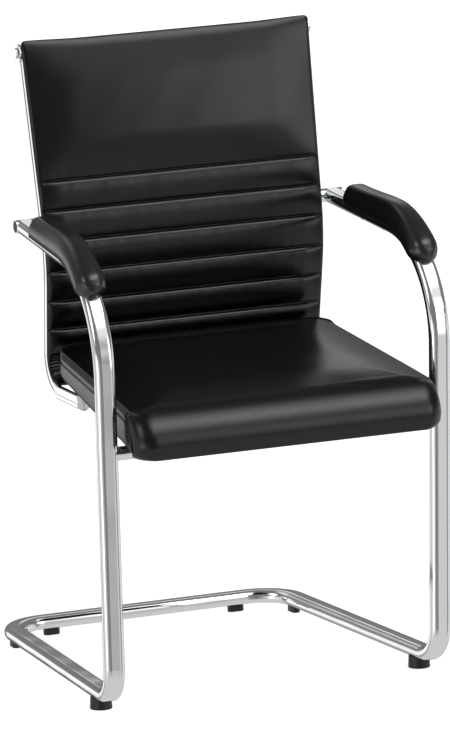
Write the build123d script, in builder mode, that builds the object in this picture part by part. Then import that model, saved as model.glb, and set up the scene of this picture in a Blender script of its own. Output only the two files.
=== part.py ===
"""Visitor chair: chromed oval tube frame on a sled base, upholstered seat and ribbed back.

Millimetres, +Z up, the sitter faces -Y. The origin is on the floor, in the middle of the chair.
The right half (+X) is modelled, and the left half is its mirror image.
"""
import os
from math import atan2, cos, degrees, radians, sin, tan

from build123d import *

os.makedirs("parts", exist_ok=True)

# Overall reach from the seat's nose to the back of the rear crossbar
overall_depth = 652.0

# Frame tube: a flat oval section, wide side across the chair
tube_width = 30.0
tube_depth = 20.0
tube_corner = 9.0
tube_wall = 2.0
arm_bend_radius = 145.0
foot_bend_radius = 50.0
corner_bend_radius = 60.0

# Where the bends of one side's tube would meet as sharp corners
upright_top_x = 254.0
upright_foot_x = 248.5
rail_rear_x = 219.0
arm_corner_y = -265.0
arm_corner_z = 628.0
foot_corner_y = -231.0

# Feet under the tube
front_foot_height = 16.0
front_foot_diameter = 32.0
front_foot_taper = 3.0
front_foot_y = -162.0
glide_height = 10.0
glide_length = 25.0
glide_width = 13.0
rail_glide_y = 262.0
crossbar_glide_x = 147.0
foot_saddle = 2.5
foot_screw_diameter = 4.0
foot_screw_head = 8.0
foot_screw_head_height = 2.5
foot_screw_reach = 9.0
foot_recess_depth = 5.0
foot_edge_radius = 1.0

# Sleeve inside the crossbar where the two halves of the frame meet
joint_sleeve_length = 80.0
joint_sleeve_wall = 2.0

# Back rails: flat bars bent to an L, with a lumbar bend, leaning apart towards the top
rail_thickness = 8.0
rail_depth = 20.0
rail_edge_radius = 2.5
rail_groove_width = 5.0
rail_groove_depth = 0.8
rail_top_x = 220.0
rail_low_x = 209.0
rail_top_y = 131.0
rail_top_z = 905.0
lumbar_y = 81.5
lumbar_z = 605.0
lumbar_radius = 250.0
rail_heel_y = 116.5
rail_foot_z = 413.0
rail_foot_y = -18.0
heel_radius = 45.0
rail_boss_diameter = 26.0
rail_boss_reach = 4.0
rail_boss_below_top = 5.0
foot_boss_diameter = 20.0
foot_boss_overlap = 4.0

# Cross members of the back
arm_joint_z = 656.0
arm_gap = 8.0
sleeve_diameter = 20.0
top_spreader_diameter = 14.0
mid_spreader_diameter = 16.0
spreader_wall = 2.0

# Bolts with their heads
head_round_share = 0.2
bolt_diameter = 8.0
bolt_head_diameter = 13.0
bolt_head_height = 5.0
top_bolt_head = 16.0
top_bolt_head_height = 3.5
bolt_grip = 18.0
bolt_cap_diameter = 17.0
bolt_cap_thickness = 3.0
bolt_cap_round = 0.9
seat_bolt_diameter = 6.0
seat_bolt_head = 11.0
seat_bolt_head_height = 4.0
spacer_diameter = 14.0
tee_nut_diameter = 9.0
tee_nut_flange = 14.0
tee_nut_flange_height = 1.5

# Back panel: padded leather on the front of the rails, sewn into ribs
panel_valley = 6.0
panel_crest = 13.0
panel_edge_crest = 8.0
panel_drawn_in = 32.0
panel_over_rail = 9.0
panel_above_heel = 39.5
panel_heel_share = 1.0
rib_pitch = 42.5
rib_count = 5
panel_screw_diameter = 4.0
panel_screw_head = 6.0
panel_screw_head_height = 2.0
panel_screw_bite = 4.0
panel_screw_places = (60.0, 150.0, 330.0)

# Seat: a wedge of foam over a plywood board, wider at the nose than behind
seat_side_gap = 3.5
seat_rear_narrowing = 22.0
seat_back_gap = 1.0
seat_front_low_z = 379.0
seat_low_slope = 8.5
seat_top_slope = 5.7
seat_front_edge = 62.0
seat_crown = 14.0
seat_crown_length = 90.0
seat_front_round = 48.0
seat_front_round_height = 42.0
seat_side_round = 5.0
seat_rear_round = 14.0
seat_rear_round_height = 10.0
seat_round_steps = 5
seat_crown_steps = 3
seat_skirt_inset = 2.0
seat_front_skirt_inset = 6.0
seat_rear_skirt_inset = 34.0
seat_skirt_steps = 3
seat_front_corner = 26.0
seat_rear_corner = 36.0
seat_skirt = 6.5
seat_rim = 9.0
board_thickness = 12.0
dust_cover_thickness = 1.0
dust_cover_clear = 1.0
cross_tube_diameter = 20.0
cross_tube_wall = 1.5
tab_thickness = 4.0
tab_width = 40.0
tab_corner = 8.0
tab_ahead = 12.0
tab_behind = 40.0
tab_bolt_behind = 27.0
tab_x = 150.0

# Arm pads: moulded over the arm and part of its bend
pad_width = 45.0
pad_top_width = 26.0
pad_height = 25.0
pad_bend_height = 28.0
pad_knee = 8.3
pad_skirt = 5.0
pad_edge_radius = 4.0
pad_straight = 136.0
pad_tail = 14.0
pad_wrap = 42.5
pad_nose_wrap = 11.0
pad_tail_share = 0.82
pad_nose_share = 0.3
pad_nose_steps = 4
pad_plate_width = 14.0
pad_plate_corner = 3.5
pad_plate_thickness = 3.0
pad_plate_length = 110.0
pad_screw_diameter = 5.0
pad_screw_head = 9.0
pad_screw_head_height = 3.0
pad_screw_spread = 70.0
pad_screw_tip = 3.0

# Fits: seats that touch, holes over screws and soft pieces beside hard ones
weld_gap = 0.2
hole_clearance = 0.4
soft_gap = 0.3
tube_fit = 0.4


def keep(piece, name):
    """Label a finished piece and write its file."""
    piece.label = name
    export_step(piece, f"parts/{name}.step")


def mirrored(piece):
    """The left-hand twin of a right-hand piece."""
    with BuildPart() as twin:
        mirror(piece, about=Plane.YZ)
    return twin.part


def keep_pair(piece, name):
    """Write a right-hand piece and its left-hand twin."""
    keep(piece, f"{name}_right")
    keep(mirrored(piece), f"{name}_left")


def both_sides(piece):
    """A right-hand piece and its twin as one group of separate solids."""
    with BuildPart() as group:
        add(piece)
        mirror(piece, about=Plane.YZ)
    return group.part


def drilled(piece, *drills):
    """The piece with every drill taken out of it."""
    with BuildPart() as bored:
        add(piece)
        for drill in drills:
            add(drill, mode=Mode.SUBTRACT)
    return bored.part


def rod(plane, diameter, length):
    """A round rod that starts on a plane and runs along its normal."""
    with BuildPart() as bar:
        with BuildSketch(plane):
            Circle(diameter / 2)
        extrude(amount=length)
    return bar.part


def screw(plane, diameter, length, head_diameter, head_height):
    """A screw whose head stands below a plane and whose shank runs along its normal."""
    with BuildPart() as body:
        with BuildSketch(plane):
            Circle(diameter / 2)
        extrude(amount=length)
        with BuildSketch(plane):
            Circle(head_diameter / 2)
        extrude(amount=-head_height)
        head_end = body.faces().sort_by(Axis(plane.origin, plane.z_dir))[0]
        fillet(head_end.edges(), head_round_share * head_height)
    return body.part


# Back rail, seen from the side: y across, height above the rail's foot upwards
rail_lean = degrees(atan2(rail_top_x - rail_low_x, rail_top_z - rail_foot_z))
rail_rise = (rail_top_z - rail_foot_z) / cos(radians(rail_lean))
lumbar_rise = (lumbar_z - rail_foot_z) / cos(radians(rail_lean))
rail_corners = ((rail_top_y, rail_rise), (lumbar_y, lumbar_rise), (rail_heel_y, 0), (rail_foot_y, 0))
rail_radii = [lumbar_radius, heel_radius]
with BuildLine() as rail_trace:
    FilletPolyline(*rail_corners, radius=rail_radii)
rail_wire = rail_trace.wires()[0]


def rail_plane(beyond):
    """The right rail's own upright plane, a distance beyond its outer face."""
    outward = (cos(radians(rail_lean)), 0, -sin(radians(rail_lean)))
    return Plane(origin=(rail_low_x, 0, rail_foot_z), x_dir=(0, 1, 0), z_dir=outward).offset(beyond)


def mirror_plane(plane):
    """The same plane on the left side, with its normal still towards +X."""
    x, y, z = plane.origin
    a, b, c = plane.z_dir
    return Plane(origin=(-x, y, z), x_dir=plane.x_dir, z_dir=(a, b, -c))


def beside_rail(distance, ahead):
    """A point at a distance down the rail from its top, ahead of its middle line."""
    along = max(distance, 0.0)
    spot = rail_wire.position_at(along, position_mode=PositionMode.LENGTH)
    run = rail_wire.tangent_at(along, position_mode=PositionMode.LENGTH)
    spot = spot + run * (distance - along)
    return (spot.X + run.Y * ahead, spot.Y - run.X * ahead)


def rail_spot(distance, ahead, beyond):
    """The same point in space, on the plane that lies beyond the rail's outer face."""
    return rail_plane(beyond).from_local_coords(Vector(*beside_rail(distance, ahead), 0))


rail_front = rail_depth / 2
rail_middle = -rail_thickness / 2
upper_lean = atan2(rail_top_y - lumbar_y, rail_rise - lumbar_rise)
lower_lean = atan2(rail_heel_y - lumbar_y, lumbar_rise)
arm_joint_along = (rail_top_z - arm_joint_z) / cos(radians(rail_lean)) / cos(upper_lean)
arm_joint = rail_spot(arm_joint_along, 0, 0)
arm_rear_x = arm_joint.X + arm_gap + tube_width / 2

# Middle line of one side of the frame, from the back joint round to the middle of the crossbar
crossbar_y = overall_depth / 2 - tube_width / 2
rail_front_z = front_foot_height + tube_depth / 2
rail_rear_z = glide_height + tube_depth / 2
arm_end = Vector(arm_rear_x, arm_joint.Y, arm_joint.Z)
arm_corner = Vector(upright_top_x, arm_corner_y, arm_corner_z)
foot_corner = Vector(upright_foot_x, foot_corner_y, rail_front_z)
rear_corner = Vector(rail_rear_x, crossbar_y, rail_rear_z)
crossbar_middle = Vector(0, crossbar_y, rail_rear_z)


def frame_run(width, depth, corner):
    """A solid of the given section along one side of the frame."""
    with BuildPart() as run:
        with BuildLine() as middle_line:
            FilletPolyline(
                arm_end,
                arm_corner,
                foot_corner,
                rear_corner,
                crossbar_middle,
                radius=[arm_bend_radius, foot_bend_radius, corner_bend_radius],
            )
        with BuildSketch(Plane(origin=arm_end, x_dir=(1, 0, 0), z_dir=arm_corner - arm_end)):
            RectangleRounded(width, depth, corner)
        sweep(path=middle_line.wires()[0])
    return run.part


frame_outside = frame_run(tube_width, tube_depth, tube_corner)
frame_inside = frame_run(tube_width - 2 * tube_wall, tube_depth - 2 * tube_wall, tube_corner - tube_wall)
frame_room = frame_run(tube_width + 2 * weld_gap, tube_depth + 2 * weld_gap, tube_corner + weld_gap)

# Distances down the rail to the start and end of its lumbar and heel bends
lumbar_turn = upper_lean + lower_lean
lumbar_reach = lumbar_radius * tan(lumbar_turn / 2)
lumbar_start = (rail_rise - lumbar_rise) / cos(upper_lean) - lumbar_reach
lumbar_end = lumbar_start + lumbar_radius * lumbar_turn
heel_turn = radians(90) + lower_lean
heel_start = lumbar_end + lumbar_rise / cos(lower_lean) - lumbar_reach - heel_radius * tan(heel_turn / 2)
heel_length = heel_radius * heel_turn

# Panel lines along the rail: its rear face, its lower end round the heel, and its seams above that
panel_rear = rail_front + soft_gap
panel_end = heel_start + panel_heel_share * heel_length
last_seam = heel_start - panel_above_heel
seam_places = [last_seam - rib * rib_pitch for rib in range(rib_count, -1, -1)]

# Seat planes: the skirt's lower edge, and planes above it along its slope
seat_front_y = -overall_depth / 2
seat_slope = radians(seat_low_slope)
panel_face_y = beside_rail(last_seam, panel_rear + panel_crest)[0]
seat_length = panel_face_y - seat_back_gap - seat_front_y
seat_rear_low = seat_length * tan(seat_slope)
seat_rear_edge = seat_front_edge + seat_length * tan(radians(seat_top_slope))
upright_share = (seat_front_low_z - rail_front_z) / (arm_corner_z - rail_front_z)
upright_x = upright_foot_x + (upright_top_x - upright_foot_x) * upright_share
seat_front_half = upright_x - tube_width / 2 - seat_side_gap
seat_rear_half = seat_front_half - seat_rear_narrowing


def seat_plane(above, behind):
    """A plane across the seat, given its height at the nose and at the tail."""
    origin = (0, seat_front_y, seat_front_low_z + above)
    slope = atan2(behind - above, seat_length)
    return Plane(origin=origin, x_dir=(1, 0, 0), z_dir=(0, -sin(slope), cos(slope)))


def seat_outline(front, side, rear, front_corner, rear_corner):
    """A rounded trapezium, drawn in from the seat's full outline by the given amounts."""
    nose = front
    tail = seat_length - rear
    nose_half = seat_front_half - side
    tail_half = seat_rear_half - side
    FilletPolyline(
        (-nose_half, nose),
        (nose_half, nose),
        (tail_half, tail),
        (-tail_half, tail),
        radius=[front_corner, front_corner, rear_corner, rear_corner],
        close=True,
    )


board_low = seat_plane(0, seat_rear_low).offset(seat_skirt)
board_top = board_low.offset(board_thickness)

# Arm sleeve: a short round bar across the arm's end, between it and the back rail
arm_outer_x = arm_rear_x + tube_width / 2 + weld_gap
joint_axis = Plane(origin=(0, arm_joint.Y, arm_joint.Z), x_dir=(0, 1, 0), z_dir=(1, 0, 0))
with BuildPart() as arm_sleeve:
    with BuildSketch(joint_axis):
        Circle(sleeve_diameter / 2)
        Circle((bolt_diameter + hole_clearance) / 2, mode=Mode.SUBTRACT)
    extrude(amount=arm_outer_x)
    split(bisect_by=rail_plane(weld_gap), keep=Keep.TOP)
    with BuildSketch(joint_axis.offset(arm_outer_x)):
        Circle((bolt_cap_diameter + hole_clearance) / 2)
    extrude(amount=-(bolt_cap_thickness + bolt_head_height + hole_clearance), mode=Mode.SUBTRACT)
keep_pair(arm_sleeve.part, "arm_sleeve")

# Cap that closes the sleeve over the head of the bolt
with BuildPart() as arm_bolt_cap:
    with BuildSketch(joint_axis.offset(arm_outer_x - bolt_cap_thickness)):
        Circle(bolt_cap_diameter / 2)
    extrude(amount=bolt_cap_thickness)
    fillet(arm_bolt_cap.faces().sort_by(Axis.X)[-1].edges(), bolt_cap_round)
keep_pair(arm_bolt_cap.part, "arm_bolt_cap")

# Bolt through the sleeve and the rail into the middle spreader
arm_bolt_seat = arm_outer_x - bolt_cap_thickness - bolt_head_height - hole_clearance
arm_bolt_tip = arm_joint.X - rail_thickness - bolt_grip
arm_bolt_plane = Plane(origin=(arm_bolt_seat, arm_joint.Y, arm_joint.Z), x_dir=(0, 1, 0), z_dir=(-1, 0, 0))
arm_bolt = screw(
    arm_bolt_plane, bolt_diameter, arm_bolt_seat - arm_bolt_tip, bolt_head_diameter, bolt_head_height
)
keep(both_sides(arm_bolt), "arm_bolts")

# Back rail with a round boss at its top and another under the seat
top_joint = rail_spot(rail_boss_below_top, 0, rail_boss_reach)
foot_boss_x = rail_low_x - rail_thickness + foot_boss_overlap - foot_boss_diameter / 2
foot_boss_y = rail_foot_y + foot_boss_diameter / 2
foot_boss_middle = board_low.to_local_coords(Vector(0, foot_boss_y, rail_foot_z))
foot_boss_along = foot_boss_middle.Y
foot_boss_top = foot_boss_middle.Z + rail_depth / 2
top_axis = Plane(origin=(0, top_joint.Y, top_joint.Z), x_dir=(0, 1, 0), z_dir=(1, 0, 0))


def panel_screw_plane(distance):
    """The plane on the back of the rail from which a panel screw goes in."""
    spot = rail_spot(distance, -rail_front, rail_middle)
    return Plane(origin=spot, z_dir=rail_spot(distance, rail_front, rail_middle) - spot)


with BuildPart() as back_rail:
    with BuildLine(rail_plane(rail_middle)) as rail_line:
        FilletPolyline(*rail_corners, radius=rail_radii)
    with BuildSketch(Plane(origin=rail_line.line @ 0, x_dir=rail_plane(0).z_dir, z_dir=rail_line.line % 0)):
        RectangleRounded(rail_thickness, rail_depth, rail_edge_radius)
        with Locations((rail_thickness / 2, 0)):
            Rectangle(2 * rail_groove_depth, rail_groove_width, mode=Mode.SUBTRACT)
    sweep(path=rail_line.wires()[0])
    with BuildSketch(rail_plane(0)):
        with Locations(beside_rail(rail_boss_below_top, 0)):
            Circle(rail_boss_diameter / 2)
    extrude(amount=rail_boss_reach)
    with BuildSketch(board_low.offset(foot_boss_top)):
        with Locations((foot_boss_x, foot_boss_along)):
            Circle(foot_boss_diameter / 2)
    extrude(amount=-rail_depth)
back_rail_blank = back_rail.part

# Spreaders that hold the two rails apart behind the panel
rail_inner = rail_plane(-rail_thickness - weld_gap)


def spreader(axis, diameter):
    """A round tube between the inner faces of the two rails."""
    with BuildPart() as bar:
        with BuildSketch(axis.offset(-rail_top_x)):
            Circle(diameter / 2)
            Circle(diameter / 2 - spreader_wall, mode=Mode.SUBTRACT)
        extrude(amount=2 * rail_top_x)
        split(bisect_by=rail_inner, keep=Keep.BOTTOM)
        split(bisect_by=mirror_plane(rail_inner), keep=Keep.TOP)
    return bar.part


def spreader_insert(axis, diameter, bolt_tip):
    """The threaded slug in a spreader's right-hand end."""
    with BuildPart() as slug:
        with BuildSketch(axis.offset(bolt_tip - hole_clearance)):
            Circle(diameter / 2 - spreader_wall)
            Circle((bolt_diameter + hole_clearance) / 2, mode=Mode.SUBTRACT)
        extrude(amount=rail_top_x)
        split(bisect_by=rail_inner, keep=Keep.BOTTOM)
    return slug.part


top_bolt_tip = top_joint.X - rail_boss_reach - rail_thickness - bolt_grip
keep(spreader(top_axis, top_spreader_diameter), "back_top_spreader")
keep(spreader(joint_axis, mid_spreader_diameter), "back_mid_spreader")
with BuildPart() as spreader_inserts:
    for slug in (
        spreader_insert(top_axis, top_spreader_diameter, top_bolt_tip),
        spreader_insert(joint_axis, mid_spreader_diameter, arm_bolt_tip),
    ):
        add(slug)
        mirror(slug, about=Plane.YZ)
keep(spreader_inserts.part, "spreader_inserts")

# Dome bolts on the bosses at the top of the rails
top_bolt_plane = Plane(origin=top_joint, x_dir=(0, 1, 0), z_dir=(-1, 0, 0))
top_bolt = screw(
    top_bolt_plane.offset(-weld_gap),
    bolt_diameter,
    top_joint.X - top_bolt_tip + weld_gap,
    top_bolt_head,
    top_bolt_head_height,
)
keep(both_sides(top_bolt), "rail_top_bolts")

# Screws from the back of each rail into the panel
panel_screws = [
    screw(
        panel_screw_plane(distance).offset(-weld_gap),
        panel_screw_diameter,
        rail_depth + soft_gap + panel_screw_bite,
        panel_screw_head,
        panel_screw_head_height,
    )
    for distance in panel_screw_places
]
with BuildPart() as back_panel_screws:
    for piece in panel_screws:
        add(piece)
        mirror(piece, about=Plane.YZ)
keep(back_panel_screws.part, "back_panel_screws")
panel_screw_drills = [
    rod(
        panel_screw_plane(distance).offset(-hole_clearance),
        panel_screw_diameter + hole_clearance,
        rail_depth + soft_gap + panel_screw_bite + 2 * hole_clearance,
    )
    for distance in panel_screw_places
]

# Padded back panel: a ribbed front, drawn in towards both edges


def panel_outline(crest):
    """Side view of the panel: plain head, ribs between seams, and the tuck behind the seat."""
    valley = panel_rear + panel_valley
    ridge = panel_rear + crest
    head = beside_rail(-panel_over_rail + panel_valley, valley)
    crown = beside_rail(-panel_over_rail, panel_rear + panel_valley / 2)
    nape = beside_rail(-panel_over_rail + panel_valley, panel_rear)
    ThreePointArc(nape, crown, head)
    first_seam = beside_rail(seam_places[0], valley)
    ThreePointArc(head, beside_rail(seam_places[0] / 2, ridge), first_seam)
    for seam in seam_places[:-1]:
        ThreePointArc(
            beside_rail(seam, valley),
            beside_rail(seam + rib_pitch / 2, ridge),
            beside_rail(seam + rib_pitch, valley),
        )
    heel_middle = (heel_start + panel_end) / 2
    Line(beside_rail(last_seam, valley), beside_rail(heel_start, valley))
    ThreePointArc(
        beside_rail(heel_start, valley),
        beside_rail(heel_middle, valley),
        beside_rail(panel_end, valley),
    )
    Line(beside_rail(panel_end, valley), beside_rail(panel_end, panel_rear))
    ThreePointArc(
        beside_rail(panel_end, panel_rear),
        beside_rail(heel_middle, panel_rear),
        beside_rail(heel_start, panel_rear),
    )
    Line(beside_rail(heel_start, panel_rear), beside_rail(lumbar_end, panel_rear))
    ThreePointArc(
        beside_rail(lumbar_end, panel_rear),
        beside_rail((lumbar_start + lumbar_end) / 2, panel_rear),
        beside_rail(lumbar_start, panel_rear),
    )
    Line(beside_rail(lumbar_start, panel_rear), nape)


panel_edge = rail_plane(-soft_gap)
panel_inner = rail_plane(-panel_drawn_in)
with BuildPart() as back_panel:
    for plane, crest in (
        (mirror_plane(panel_edge), panel_edge_crest),
        (mirror_plane(panel_inner), panel_crest),
        (panel_inner, panel_crest),
        (panel_edge, panel_edge_crest),
    ):
        with BuildSketch(plane):
            with BuildLine():
                panel_outline(crest)
            make_face()
    loft(ruled=True)
    for drill in panel_screw_drills:
        add(drill, mode=Mode.SUBTRACT)
        mirror(drill, about=Plane.YZ, mode=Mode.SUBTRACT)
keep(back_panel.part, "back_panel")

# Plywood board inside the skirt, and the pocket that it fills


def board_blank(plane, grow, thickness):
    """A plate of the board's outline, grown by a clearance, above a plane."""
    with BuildPart() as plate:
        with BuildSketch(plane):
            with BuildLine():
                rim = seat_rim - grow
                seat_outline(
                    seat_front_skirt_inset + rim,
                    seat_skirt_inset + rim,
                    seat_rear_skirt_inset + rim,
                    seat_front_corner - seat_rim + grow,
                    seat_rear_corner - seat_rim + grow,
                )
            make_face()
        extrude(amount=thickness)
    return plate.part


# Front cross tube between the uprights, under the board
upright_run = (arm_corner_y - foot_corner_y) / (arm_corner_z - rail_front_z)
tube_drop = (cross_tube_diameter / 2 + tab_thickness) / cos(seat_slope)
board_rise = tan(seat_slope)
upright_start_y = foot_corner_y - upright_run * rail_front_z
board_over_start = board_low.origin.Z + board_rise * (upright_start_y - board_low.origin.Y)
cross_tube_z = (board_over_start - tube_drop) / (1 - board_rise * upright_run)
cross_tube_y = upright_start_y + upright_run * cross_tube_z
cross_axis = Plane(origin=(0, cross_tube_y, cross_tube_z), x_dir=(0, 1, 0), z_dir=(1, 0, 0))
cross_tube_end = cross_axis.offset(-upright_foot_x)
cross_tube_room = rod(cross_tube_end, cross_tube_diameter + 2 * seat_back_gap, 2 * upright_foot_x)
with BuildPart() as seat_cross_tube:
    with BuildSketch(cross_tube_end):
        Circle(cross_tube_diameter / 2)
        Circle(cross_tube_diameter / 2 - cross_tube_wall, mode=Mode.SUBTRACT)
    extrude(amount=2 * upright_foot_x)
    add(frame_room, mode=Mode.SUBTRACT)
    mirror(frame_room, about=Plane.YZ, mode=Mode.SUBTRACT)
keep(seat_cross_tube.part, "seat_cross_tube")

# Tabs on the cross tube that the board is bolted to
tube_along = board_low.to_local_coords(Vector(0, cross_tube_y, cross_tube_z)).Y
tab_middle = tube_along + (tab_behind - tab_ahead) / 2
tab_bolt_along = tube_along + tab_bolt_behind
with BuildPart() as seat_tab:
    with BuildSketch(board_low):
        with Locations((tab_x, tab_middle)):
            RectangleRounded(tab_width, tab_ahead + tab_behind, tab_corner)
        with Locations((tab_x, tab_bolt_along)):
            Circle((seat_bolt_diameter + hole_clearance) / 2, mode=Mode.SUBTRACT)
    extrude(amount=-tab_thickness)
keep_pair(seat_tab.part, "seat_tab")

# Spacers between the rails' feet and the board
with BuildPart() as rail_spacer:
    with BuildSketch(board_low):
        with Locations((foot_boss_x, foot_boss_along)):
            Circle(spacer_diameter / 2)
            Circle((seat_bolt_diameter + hole_clearance) / 2, mode=Mode.SUBTRACT)
    extrude(amount=foot_boss_top + weld_gap)
keep(both_sides(rail_spacer.part), "rail_spacers")


# Bolts that hold the board down, and the nuts sunk into it from above
def under_board(x, along, below):
    """A plane that faces the board from below, under a point on it."""
    spot = board_low.from_local_coords(Vector(x, along, -below))
    return Plane(origin=spot, x_dir=board_low.x_dir, z_dir=board_low.z_dir)


board_grip = board_thickness - tee_nut_flange_height
tab_bolt_drop = tab_thickness + weld_gap
rail_bolt_drop = rail_depth - foot_boss_top + weld_gap
tab_bolt_plane = under_board(tab_x, tab_bolt_along, tab_bolt_drop)
rail_bolt_plane = under_board(foot_boss_x, foot_boss_along, rail_bolt_drop)
tab_bolt = screw(
    tab_bolt_plane, seat_bolt_diameter, tab_bolt_drop + board_grip, seat_bolt_head, seat_bolt_head_height
)
rail_bolt = screw(
    rail_bolt_plane, seat_bolt_diameter, rail_bolt_drop + board_grip, seat_bolt_head, seat_bolt_head_height
)
with BuildPart() as seat_bolts:
    for piece in (tab_bolt, rail_bolt):
        add(piece)
        mirror(piece, about=Plane.YZ)
keep(seat_bolts.part, "seat_bolts")

nut_places = ((tab_x, tab_bolt_along), (foot_boss_x, foot_boss_along))
nut_spots = [(side * x, along) for x, along in nut_places for side in (1, -1)]
with BuildPart() as seat_tee_nuts:
    with BuildSketch(board_top):
        with Locations(*nut_spots):
            Circle(tee_nut_flange / 2)
            Circle((seat_bolt_diameter + hole_clearance) / 2, mode=Mode.SUBTRACT)
    extrude(amount=-tee_nut_flange_height)
    with BuildSketch(board_top):
        with Locations(*nut_spots):
            Circle(tee_nut_diameter / 2)
            Circle((seat_bolt_diameter + hole_clearance) / 2, mode=Mode.SUBTRACT)
    extrude(amount=-board_grip)
keep(seat_tee_nuts.part, "seat_tee_nuts")

with BuildPart() as seat_board:
    add(board_blank(board_low, 0.0, board_thickness))
    with BuildSketch(board_top):
        with Locations(*nut_spots):
            Circle((tee_nut_flange + hole_clearance) / 2)
    extrude(amount=-tee_nut_flange_height, mode=Mode.SUBTRACT)
    with BuildSketch(board_top):
        with Locations(*nut_spots):
            Circle((tee_nut_diameter + hole_clearance) / 2)
    extrude(amount=-board_thickness, mode=Mode.SUBTRACT)
keep(seat_board.part, "seat_board")

# Dust cover under the board, cut out around the tabs and spacers
dust_cover_low = board_low.offset(-dust_cover_thickness)
with BuildPart() as seat_dust_cover:
    add(board_blank(dust_cover_low, -soft_gap, dust_cover_thickness - weld_gap))
    with BuildSketch(board_low):
        with Locations((tab_x, tab_middle), (-tab_x, tab_middle)):
            Rectangle(tab_width + 2 * dust_cover_clear, tab_ahead + tab_behind + 2 * dust_cover_clear)
        with Locations((foot_boss_x, foot_boss_along), (-foot_boss_x, foot_boss_along)):
            Circle(spacer_diameter / 2 + dust_cover_clear)
    extrude(amount=-dust_cover_thickness, mode=Mode.SUBTRACT)
keep(seat_dust_cover.part, "seat_dust_cover")

# Cushion: a skirt rounded in below, a rounded edge all round and a crowned top, over a pocket for the board
nose_belly = seat_front_edge - seat_front_round_height
tail_belly = seat_rear_edge - seat_rear_round_height
pocket_depth = 2 * seat_skirt
pocket_low = board_low.offset(-pocket_depth)
board_pocket = board_blank(pocket_low, soft_gap, pocket_depth + board_thickness + soft_gap)
with BuildPart() as seat_cushion:
    for step in range(seat_skirt_steps):
        turn = radians(90 * step / seat_skirt_steps)
        drawn_in = 1 - sin(turn)
        nose_height = nose_belly * (1 - cos(turn))
        tail_height = seat_rear_low + (tail_belly - seat_rear_low) * (1 - cos(turn))
        with BuildSketch(seat_plane(nose_height, tail_height)):
            with BuildLine():
                seat_outline(
                    seat_front_skirt_inset * drawn_in,
                    seat_skirt_inset * drawn_in,
                    seat_rear_skirt_inset * drawn_in,
                    seat_front_corner,
                    seat_rear_corner,
                )
            make_face()
    for step in range(seat_round_steps + 1):
        turn = radians(90 * step / seat_round_steps)
        short = 1 - cos(turn)
        nose_height = nose_belly + seat_front_round_height * sin(turn)
        tail_height = tail_belly + seat_rear_round_height * sin(turn)
        with BuildSketch(seat_plane(nose_height, tail_height)):
            with BuildLine():
                seat_outline(
                    seat_front_round * short,
                    seat_side_round * short,
                    seat_rear_round * short,
                    seat_front_corner,
                    seat_rear_corner,
                )
            make_face()
    for step in range(1, seat_crown_steps + 1):
        share = step / seat_crown_steps
        rise = seat_crown * sin(radians(90 * share))
        with BuildSketch(seat_plane(seat_front_edge + rise, seat_rear_edge + rise)):
            with BuildLine():
                seat_outline(
                    seat_front_round + share * seat_crown_length,
                    seat_side_round + share * seat_crown_length,
                    seat_rear_round + share * seat_crown_length,
                    seat_front_corner,
                    seat_rear_corner,
                )
            make_face()
    loft(ruled=True)
    add(board_pocket, mode=Mode.SUBTRACT)
    add(cross_tube_room, mode=Mode.SUBTRACT)
keep(seat_cushion.part, "seat_cushion")

# Holes in the rail for its bolts and screws
rail_drills = [
    rod(top_axis, bolt_diameter + hole_clearance, 2 * rail_top_x),
    rod(joint_axis, bolt_diameter + hole_clearance, 2 * rail_top_x),
    rod(rail_bolt_plane.offset(-weld_gap), seat_bolt_diameter + hole_clearance, 2 * rail_depth),
]
keep_pair(drilled(back_rail_blank, *rail_drills, *panel_screw_drills), "back_rail")

# Arm pad: a trapezium with rounded edges that follows the arm and its bend
arm_run = (arm_end - arm_corner).normalized()
upright_dir = (foot_corner - arm_corner).normalized()
arm_turn = radians(180 - arm_run.get_angle(upright_dir))
arm_bend_start = arm_bend_radius * tan(arm_turn / 2)
arm_plane = Plane(origin=arm_corner, x_dir=arm_run, z_dir=arm_run.cross(upright_dir) * -1)


def arm_frame(behind, turn):
    """Section plane on the arm: x across, y outwards, behind the bend or round it by a turn."""
    way = Vector(-cos(turn), -sin(turn), 0)
    spot = Vector(arm_bend_start + behind - arm_bend_radius * sin(turn), arm_bend_radius * (cos(turn) - 1), 0)
    along = arm_plane.from_local_coords(spot + way) - arm_plane.from_local_coords(spot)
    return Plane(origin=arm_plane.from_local_coords(spot), x_dir=arm_plane.z_dir, z_dir=along)


def pad_outline(height, size):
    """The pad's trapezium over the tube, with its height above it and a width from 0 to 1."""
    low = tube_depth / 2 - pad_skirt
    knee = tube_depth / 2 + pad_knee * size
    top = tube_depth / 2 + height
    half = pad_width / 2 * size
    top_half = pad_top_width / 2 * size
    corners = ((half, low), (half, knee), (top_half, top), (-top_half, top), (-half, knee), (-half, low))
    Polyline(*corners, close=True)


# Stations from the pad's tail to its nose, each with its height and its share of the full width
full_wrap = pad_wrap - pad_nose_wrap
pad_stations = [
    (pad_straight, 0, pad_height * pad_tail_share, pad_tail_share),
    (pad_straight - pad_tail, 0, pad_height, 1.0),
    (0, 0, pad_bend_height, 1.0),
    (0, full_wrap / 2, pad_bend_height, 1.0),
]
for step in range(pad_nose_steps + 1):
    turn = radians(90 * step / pad_nose_steps)
    size = pad_nose_share + (1 - pad_nose_share) * cos(turn)
    pad_stations.append((0, full_wrap + pad_nose_wrap * sin(turn), pad_height * size, size))

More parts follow.
